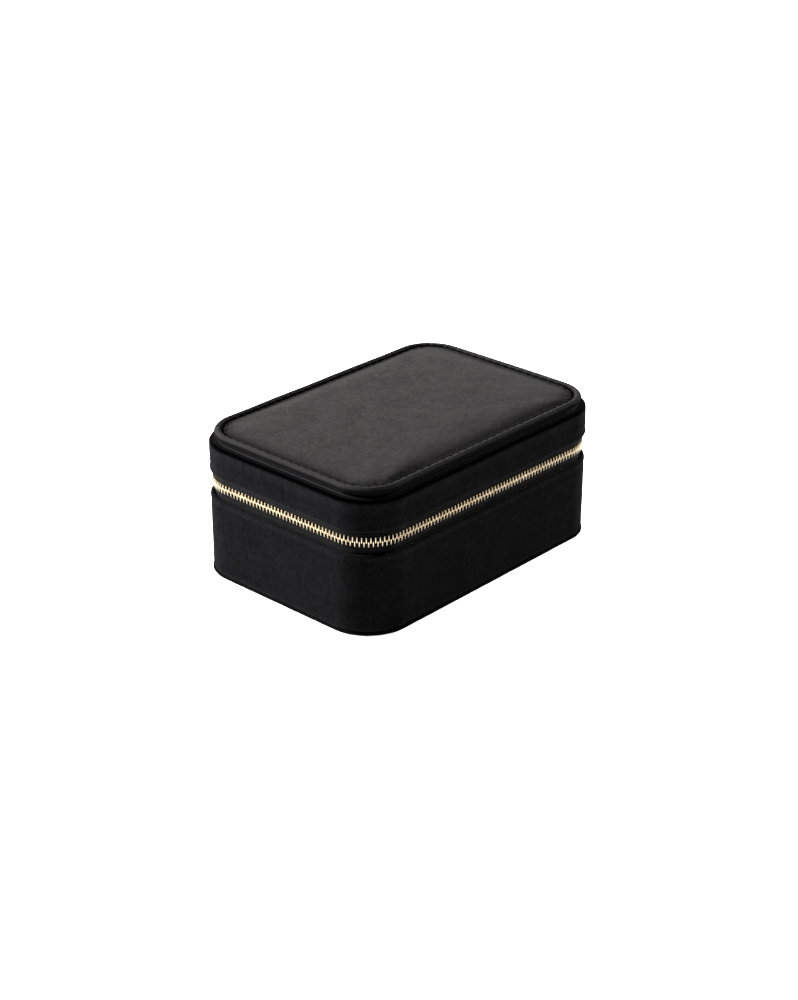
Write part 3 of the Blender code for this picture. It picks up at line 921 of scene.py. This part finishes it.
def flat_lining(node, name, body, seed):
    """Velvet on the base's floor or the lid's ceiling, thinner at its edge and faintly uneven."""
    low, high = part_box(node)
    face, back, inward = (high.z, low.z, -1) if body == "base" else (low.z, high.z, 1)

    def height(x, y, inset, distance):
        wave = 0.00005 * (1 + wander(x, y, 0.0, 0.018, seed))
        return face + inward * (0.0003 * math.exp(-inset / 0.0010) + wave)

    side = [(0.0001, back), (0.0, back - inward * 0.0002)]
    dress(panel(name, HALF_X - high.x, side, height), LINING_VELVET, body, "lining_velvet", node)


def dividers():
    """Boards wrapped in velvet, with a fold along the top."""
    names = ["long_divider_left", "long_divider_right", "cross_divider_left"]
    names += ["cross_divider_right", "cross_divider_middle"]
    for number, name in enumerate(names):
        low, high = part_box(name)
        seed = 61.0 + 3 * number

        def relief(point, outward, seed=seed, top=high.z):
            swell = 0.00010 * wander(*point, 0.014, seed) + 0.00004 * wander(*point, 0.005, seed)
            return swell - 0.00012 * math.exp(-(((point.z - top + 0.0030) / 0.0005) ** 2)) - 0.00008

        wrapped = soft_block(f"{name}_velvet", low, high, 0.0010, 0.0016, relief)
        dress(wrapped, LINING_VELVET, "base", "lining_velvet", name)


def ring_rolls():
    """Velvet rolls that grip rings between them: one cushion blown up as cloth, repeated along the bank."""
    low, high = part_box("ring_roll_1")
    small_low = Vector((low.x + 0.0008, low.y + 0.0008, low.z))
    small_high = Vector((high.x - 0.0008, high.y - 0.0008, high.z - 0.0012))
    form = soft_block("roll_start", small_low, small_high, 0.0038, 0.0024)
    inflate(form, 0.0017, low.z + 0.0010, 0.0016)
    rounded = form.modifiers.new("Rounding", "SUBSURF")
    rounded.levels = 1
    rounded.render_levels = 1
    evened(form, 4)
    fit_box(form, low, high)
    rest = [vert.co.copy() for vert in form.data.vertices]
    middle_x = (low.x + high.x) / 2
    half_length = (high.x - low.x) / 2
    for number in range(6):
        node_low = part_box(f"ring_roll_{number + 1}")[0]
        shift = Vector((0.0, node_low.y - low.y, 0.0))
        roll = placed(f"ring_roll_{number + 1}_cushion", form.data.copy())
        for vert, point in zip(roll.data.vertices, rest):
            seed = 71.0 + number
            crease = 0.00012 * wander(point.x, point.y, point.z, 0.010, seed)
            end_gap = half_length - abs(point.x - middle_x)
            waist = 0.00035 * math.exp(-(((end_gap - 0.0034) / 0.0007) ** 2))
            across = (point.y - (low.y + high.y) / 2) / (high.y - low.y) * 2
            upward = max(0.0, (point.z - low.z) / (high.z - low.z) - 0.3)
            vert.co = point + shift
            vert.co.y -= across * (waist - crease)
            vert.co.z -= upward * (waist + abs(crease))
        roll.data.shade_smooth()
        dress(roll, LINING_VELVET, "base", "lining_velvet", f"ring_roll_{number + 1}")
    bpy.data.objects.remove(form, do_unlink=True)


def mirror():
    """A bevelled mirror in a velvet-covered frame."""
    low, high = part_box("lid_mirror")
    corner = 0.0040
    bevel = 0.0040
    loops = []
    section = [(0.0, high.z), (0.0, low.z + 0.0004), (bevel, low.z + 0.00002), (bevel + 0.0004, low.z)]
    for inset, height in section:
        loops.append(mirror_outline(high.x - inset, high.y - inset, max(corner - inset, 0.0005), height))
    glass = plate("lid_mirror_glass", loops, 20)
    dress(glass, MIRROR, "lid", "mirror", "lid_mirror")

    frame_low, frame_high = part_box("lid_mirror_frame")
    width = frame_high.x - high.x
    lip = 0.0017
    section = [(0.0, frame_high.z), (0.0, frame_low.z + 0.0006)]
    section += arc((0.0006, frame_low.z + 0.0006), 0.0006, 180, 270, 4)
    section += [(width + lip - 0.0004, frame_low.z), (width + lip, frame_low.z + 0.0003)]
    section += [(width + lip, low.z - 0.0003), (width - 0.0003, low.z - 0.0003)]
    section += [(width - 0.0003, frame_high.z)]
    section = dense(section, 0.0008)
    path = rounded_path(frame_high.x, frame_high.y, corner + width, 0.0012)

    def relief(x, y, z, inset, distance):
        dent = 0.00010 if z < frame_low.z + 0.0004 and abs(inset - 0.0036) < 0.0006 else 0.0
        return 0.00006 * wander(x, y, z, 0.010, 81.0), dent + 0.00004 * wander(x, y, z, 0.006, 83.0)

    surround = sweep("lid_mirror_frame_velvet", section, path, relief=relief)
    dress(surround, LINING_VELVET, "lid", "lining_velvet", "lid_mirror_frame")


def mirror_outline(half_x, half_y, radius, height, steps=6):
    """A rounded rectangle with the same number of points at every size."""
    points = []
    for sign_x, sign_y, start in ((1, 1, 90), (1, -1, 0), (-1, -1, -90), (-1, 1, -180)):
        for step in range(steps + 1):
            angle = math.radians(start - 90 * step / steps)
            points.append((
                sign_x * (half_x - radius) + radius * math.cos(angle),
                sign_y * (half_y - radius) + radius * math.sin(angle),
                height,
            ))
    return points


# ---------------------------------------------------------------- zip


def tape_half(name, side, body, node):
    """One tape: a flat woven band with a corded edge that the teeth clamp."""
    low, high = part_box(node)
    far = low.z if side < 0 else high.z
    outer = 0.0025
    inner = 0.0030
    shift = 0.00085
    cord = 0.00045
    near = ZIP_Z + side * 0.0011
    neck = near + side * 0.0006
    bend = BASE_RIM - 0.0004 if side < 0 else LID_EDGE + 0.0004
    turn = (200, -20) if side < 0 else (160, 380)
    section = [(inner, far), (outer, far), (outer, bend)]
    section += [(outer - shift, neck + side * 0.0009), (outer - shift, neck)]
    section += arc(((outer + inner) / 2 - shift, near), cord, *turn, 8)
    section += [(inner - shift, neck), (inner - shift, neck + side * 0.0009), (inner, bend)]
    tape = sweep(name, dense(section, 0.0010), footprint(0.0, 0.0015, CHAIN_GAP), gap=CHAIN_GAP)
    dress(tape, TAPE, body, "zip_tape", node)


def tooth_rings(side):
    """One tooth as rings of (along, up, out) about the chain's line, from its clamping bar to its head."""
    levels = [
        (0.00235, 0.00024, 0.00060),
        (0.00222, 0.00033, 0.00088),
        (0.00150, 0.00035, 0.00100),
        (0.00085, 0.00034, 0.00102),
        (0.00040, 0.00035, 0.00104),
        (-0.00010, 0.00037, 0.00104),
        (-0.00038, 0.00034, 0.00092),
        (-0.00048, 0.00024, 0.00066),
    ]
    soft = 0.4
    rings = []
    for up, along, out in levels:
        outline = []
        for sign_a, sign_o, first in ((-1, -1, "o"), (1, -1, "a"), (1, 1, "o"), (-1, 1, "a")):
            pair = [(sign_a * along, sign_o * out * (1 - soft)), (sign_a * along * (1 - soft), sign_o * out)]
            outline += pair if first == "o" else pair[::-1]
        rings.append([(step, side * up, proud) for step, proud in outline])
    return rings


def teeth_half(name, side, body, node):
    """A row of teeth, half a pitch out of step with the other row."""
    path = footprint(0.0, TOOTH_PITCH / 2, CHAIN_GAP + 0.0040)
    bm = bmesh.new()
    rings = tooth_rings(side)
    middle = 0.0019
    for number in range(0 if side < 0 else 1, len(path), 2):
        x, y, out_x, out_y, distance = path[number]
        along = Vector((out_y, -out_x, 0.0))
        out = Vector((out_x, out_y, 0.0))
        centre = Vector((x, y, ZIP_Z)) - out * middle
        wobble = 0.00005 * noise.noise(Vector((number * 0.7, side, 0.0)))
        made = []
        for ring in rings:
            points = [centre + along * a + Vector((0, 0, up + wobble)) + out * o for a, up, o in ring]
            made.append([bm.verts.new(point) for point in points])
        close_rings(bm, made)
    teeth = finish_mesh(name, bm, 35)
    # Painted shade: each tooth darkens from the chain's middle line out towards the tape.
    wear(teeth, lambda inset, z: 1.0 - 0.45 * ramp(abs(z - ZIP_Z), 0.0003, 0.0015))
    dress(teeth, TEETH_GOLD, body, "zip_metal", node)


def slider(place):
    """A slider: a waisted front plate and back plate, the web between them, and an arched bridge."""
    node = f"zip_slider_{place}"
    low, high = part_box(node)
    sign = -1 if place == "front" else 1
    middle = (low.y + high.y) / 2
    half_length = (high.y - low.y) / 2
    half_height = (high.z - low.z) / 2
    outer_face = HALF_X + 0.0004
    inner_face = HALF_X - 0.0033
    plate_depth = 0.0009

    def outline(shrink):
        nose = middle + sign * (half_length - shrink)
        tail = middle - sign * (half_length - shrink)
        waist = middle + sign * 0.0006
        full, slim = half_height - shrink, half_height - shrink - 0.0011
        corners = [
            (nose, ZIP_Z + full), (waist, ZIP_Z + full - 0.0004), (tail, ZIP_Z + slim),
            (tail, ZIP_Z - slim), (waist, ZIP_Z - full + 0.0004), (nose, ZIP_Z - full),
        ]
        return rounded_polygon(corners, 0.0013)

    bm = bmesh.new()
    add_prism(bm, outline(0.0), outer_face - plate_depth, outer_face, 0.00028)
    add_prism(bm, outline(0.0003), inner_face - plate_depth, inner_face, 0.00025)
    web = rounded_polygon([
        (middle - 0.0005, ZIP_Z + 0.0003), (middle - 0.0005, ZIP_Z - 0.0003),
        (middle + 0.0005, ZIP_Z - 0.0003), (middle + 0.0005, ZIP_Z + 0.0003),
    ], 0.0002, 3)
    add_prism(bm, web, inner_face - 0.0003, outer_face - 0.0003, 0.00005)
    bridge_x = outer_face + 0.0013
    span = 0.00255
    route = [(outer_face - 0.0003, middle - span), (outer_face + 0.0004, middle - span)]
    bend = 0.0007
    for angle in (0, 22.5, 45, 67.5, 90):
        turn = math.radians(angle)
        route.append((bridge_x - bend + bend * math.sin(turn), middle - span + bend * (1 - math.cos(turn))))
    arch = [(x, y, ZIP_Z) for x, y in route]
    arch += [(x, 2 * middle - y, ZIP_Z) for x, y in reversed(route)]
    add_tube(bm, arch, 0.00042)
    body = finish_mesh(f"{node}_body", bm, 32)
    dress(body, GOLD, f"slider_{place}", "zip_metal", node)
    return bridge_x, middle


def pull(place, bridge_x, middle):
    """A pull: a rolled eye, a tapering tab, and a raised border round it."""
    node = f"zip_pull_{place}"
    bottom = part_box(node)[0].z
    corners = [
        (middle - 0.0015, ZIP_Z - 0.0010), (middle + 0.0015, ZIP_Z - 0.0010),
        (middle + 0.0023, bottom + 0.0030), (middle + 0.0019, bottom),
        (middle - 0.0019, bottom), (middle - 0.0023, bottom + 0.0030),
    ]
    outline = rounded_polygon(corners, 0.0012, 6)
    bm = bmesh.new()
    add_eye(bm, (bridge_x, middle, ZIP_Z), 0.00062, 0.00100, 0.0017)
    add_prism(bm, outline, bridge_x - 0.00034, bridge_x + 0.00034, 0.00012)
    add_rim(bm, outline, 0.00060, bridge_x - 0.00050, bridge_x + 0.00050)
    tab = finish_mesh(f"{node}_tab", bm, 32)
    dress(tab, GOLD, f"pull_{place}", "zip_metal", node)


def hinge_strip():
    """One strip of velvet along the back that joins the lid to the base, with a shallow crease along the hinge
    line.
    """
    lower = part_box("hinge_strip_lower")[0]
    low = Vector((lower.x, lower.y + 0.0001, lower.z))
    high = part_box("hinge_strip_upper")[1]

    def relief(point, outward):
        swell = 0.00008 * wander(*point, 0.012, 91.0)
        return swell - 0.00010 * math.exp(-(((point.z - ZIP_Z) / 0.0008) ** 2))

    strip = soft_block("hinge_strip_velvet", low, high, 0.00035, 0.0011, relief)
    dress(strip, HINGE_VELVET, None, "outer_velvet", "hinge_strip_lower", "hinge_strip_upper")
    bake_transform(strip)


# ---------------------------------------------------------------- stage


def look_at(obj, target):
    direction = obj.location - target
    obj.rotation_euler = direction.to_track_quat("Z", "Y").to_euler()


def area_light(name, location, target, size, power):
    data = bpy.data.lights.new(name, "AREA")
    data.shape = "RECTANGLE"
    data.size = size[0]
    data.size_y = size[1]
    data.energy = power
    light = placed(name, data)
    light.location = location
    look_at(light, Vector(target))


def build_stage():
    """A pale floor, a dim white world and three softboxes: overhead, behind on the left, and on the right."""
    bpy.ops.mesh.primitive_plane_add(size=12.0, location=(0.0, 0.0, -0.0002))
    floor = bpy.context.active_object
    floor.name = "studio_floor"
    floor.data.materials.append(stage_floor("Pale floor"))
    world = bpy.data.worlds.new("Studio")
    bpy.context.scene.world = world
    world.use_nodes = True
    background = world.node_tree.nodes["Background"]
    fill(background, {"Color": (1.0, 1.0, 1.0, 1.0), "Strength": 0.08})
    area_light("Top softbox", (0.80, 0.65, 1.00), (0.0, 0.0, 0.05), (1.0, 1.0), 19.0)
    area_light("Left softbox", (-0.90, 1.45, 0.60), (0.0, 0.0, 0.03), (0.6, 0.6), 225.0)
    area_light("Right softbox", (1.35, -0.35, 0.45), (0.0, 0.0, 0.03), (0.6, 0.6), 48.0)


def build_camera():
    azimuth = math.radians(CAMERA_AZIMUTH)
    elevation = math.radians(CAMERA_ELEVATION)
    back = Vector((
        math.sin(azimuth) * math.cos(elevation),
        -math.cos(azimuth) * math.cos(elevation),
        math.sin(elevation),
    ))
    data = bpy.data.cameras.new("Camera")
    data.lens = CAMERA_LENS
    camera = placed("Camera", data)
    camera.location = CAMERA_AIM + back * CAMERA_DISTANCE
    look_at(camera, CAMERA_AIM)
    bpy.context.scene.camera = camera


def dress_frame():
    """Materials of the CAD nodes that are shown as they are."""
    finishes = {
        "board": BOARD, "mirror": MIRROR, "zip_metal": GOLD, "zip_tape": TAPE,
        "outer_velvet": HINGE_VELVET, "lining_velvet": LINING_VELVET, "foam": LINING_VELVET,
    }
    for part in frame["record"]["subparts"]:
        node = frame["nodes"][part["node"]]
        node.data.materials.clear()
        node.data.materials.append(finishes[part["material_slot"]])


bpy.context.scene.view_settings.view_transform = "Standard"
build_camera()
build_stage()
dress_frame()
base_wall()
lid_wall()
piping()
build_pad()
bottom_panel()
wall_lining("base_wall_lining", "base", 51.0)
wall_lining("lid_wall_lining", "lid", 55.0)
flat_lining("base_floor_lining", "base_floor_velvet", "base", 57.0)
flat_lining("lid_ceiling_lining", "lid_ceiling_velvet", "lid", 59.0)
dividers()
ring_rolls()
mirror()
tape_half("zip_tape_lower_weave", -1, "base", "zip_tape_lower")
tape_half("zip_tape_upper_weave", 1, "lid", "zip_tape_upper")
teeth_half("zip_teeth_lower_row", -1, "base", "zip_teeth_lower")
teeth_half("zip_teeth_upper_row", 1, "lid", "zip_teeth_upper")
hinge_strip()
for end in ("front", "rear"):
    pull(end, *slider(end))
